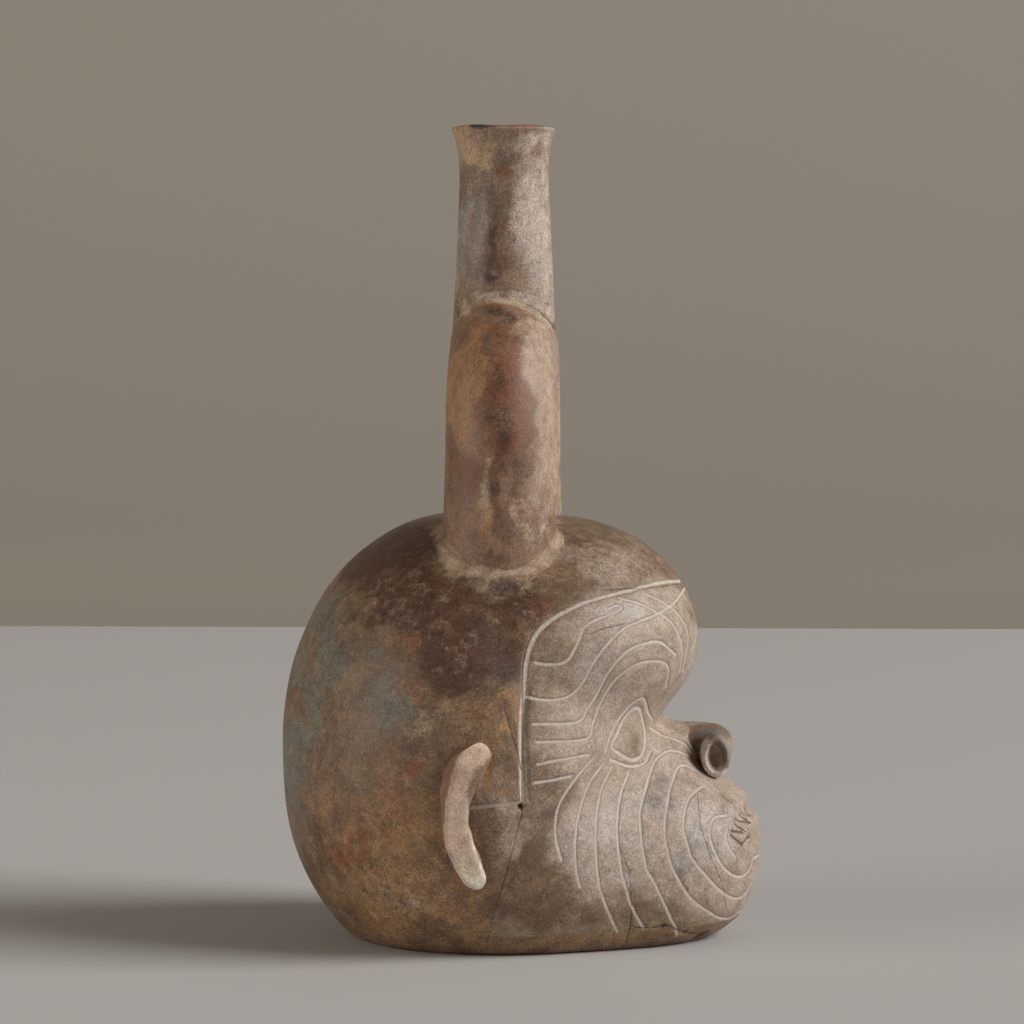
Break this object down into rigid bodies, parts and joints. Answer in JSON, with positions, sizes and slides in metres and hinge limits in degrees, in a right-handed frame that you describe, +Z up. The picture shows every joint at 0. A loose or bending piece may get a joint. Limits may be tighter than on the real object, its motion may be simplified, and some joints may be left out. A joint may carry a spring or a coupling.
{
  "type": "stirrup spout bottle",
  "caption": "Hollow pottery bottle in the form of a monkey's head, with an incised face, a stirrup of bent clay tubes on the crown and an upright pouring spout.",
  "frame": {"origin": "on the resting face, under the axis of the spout", "axes": "+Z up along the spout, +X the way the face looks, +Y towards the animal's left ear"},
  "size_m": [0.1425, 0.1426, 0.24],
  "materials": {
    "bare_clay": "unslipped earthenware, worn",
    "brown_slip": "burnished brown slip, mottled",
    "face_slip": "burnished tan slip with pale incised lines",
    "pale_slip": "matt pale slip",
    "stirrup_slip": "burnished red-brown slip",
    "spout_slip": "burnished slip, rubbed and stained",
    "luting_clay": "matt pale clay"
  },
  "bodies": {
    "root": {"base_slab": "bare_clay", "cranium_shell": "brown_slip", "face_mask": "face_slip", "nose": "face_slip", "right_ear": "pale_slip", "left_ear": "pale_slip", "right_stirrup_leg": "stirrup_slip", "left_stirrup_leg": "stirrup_slip", "right_leg_collar": "luting_clay", "left_leg_collar": "luting_clay", "spout": "spout_slip", "right_spout_fillet": "luting_clay", "left_spout_fillet": "luting_clay"}
  },
  "joints": []
}
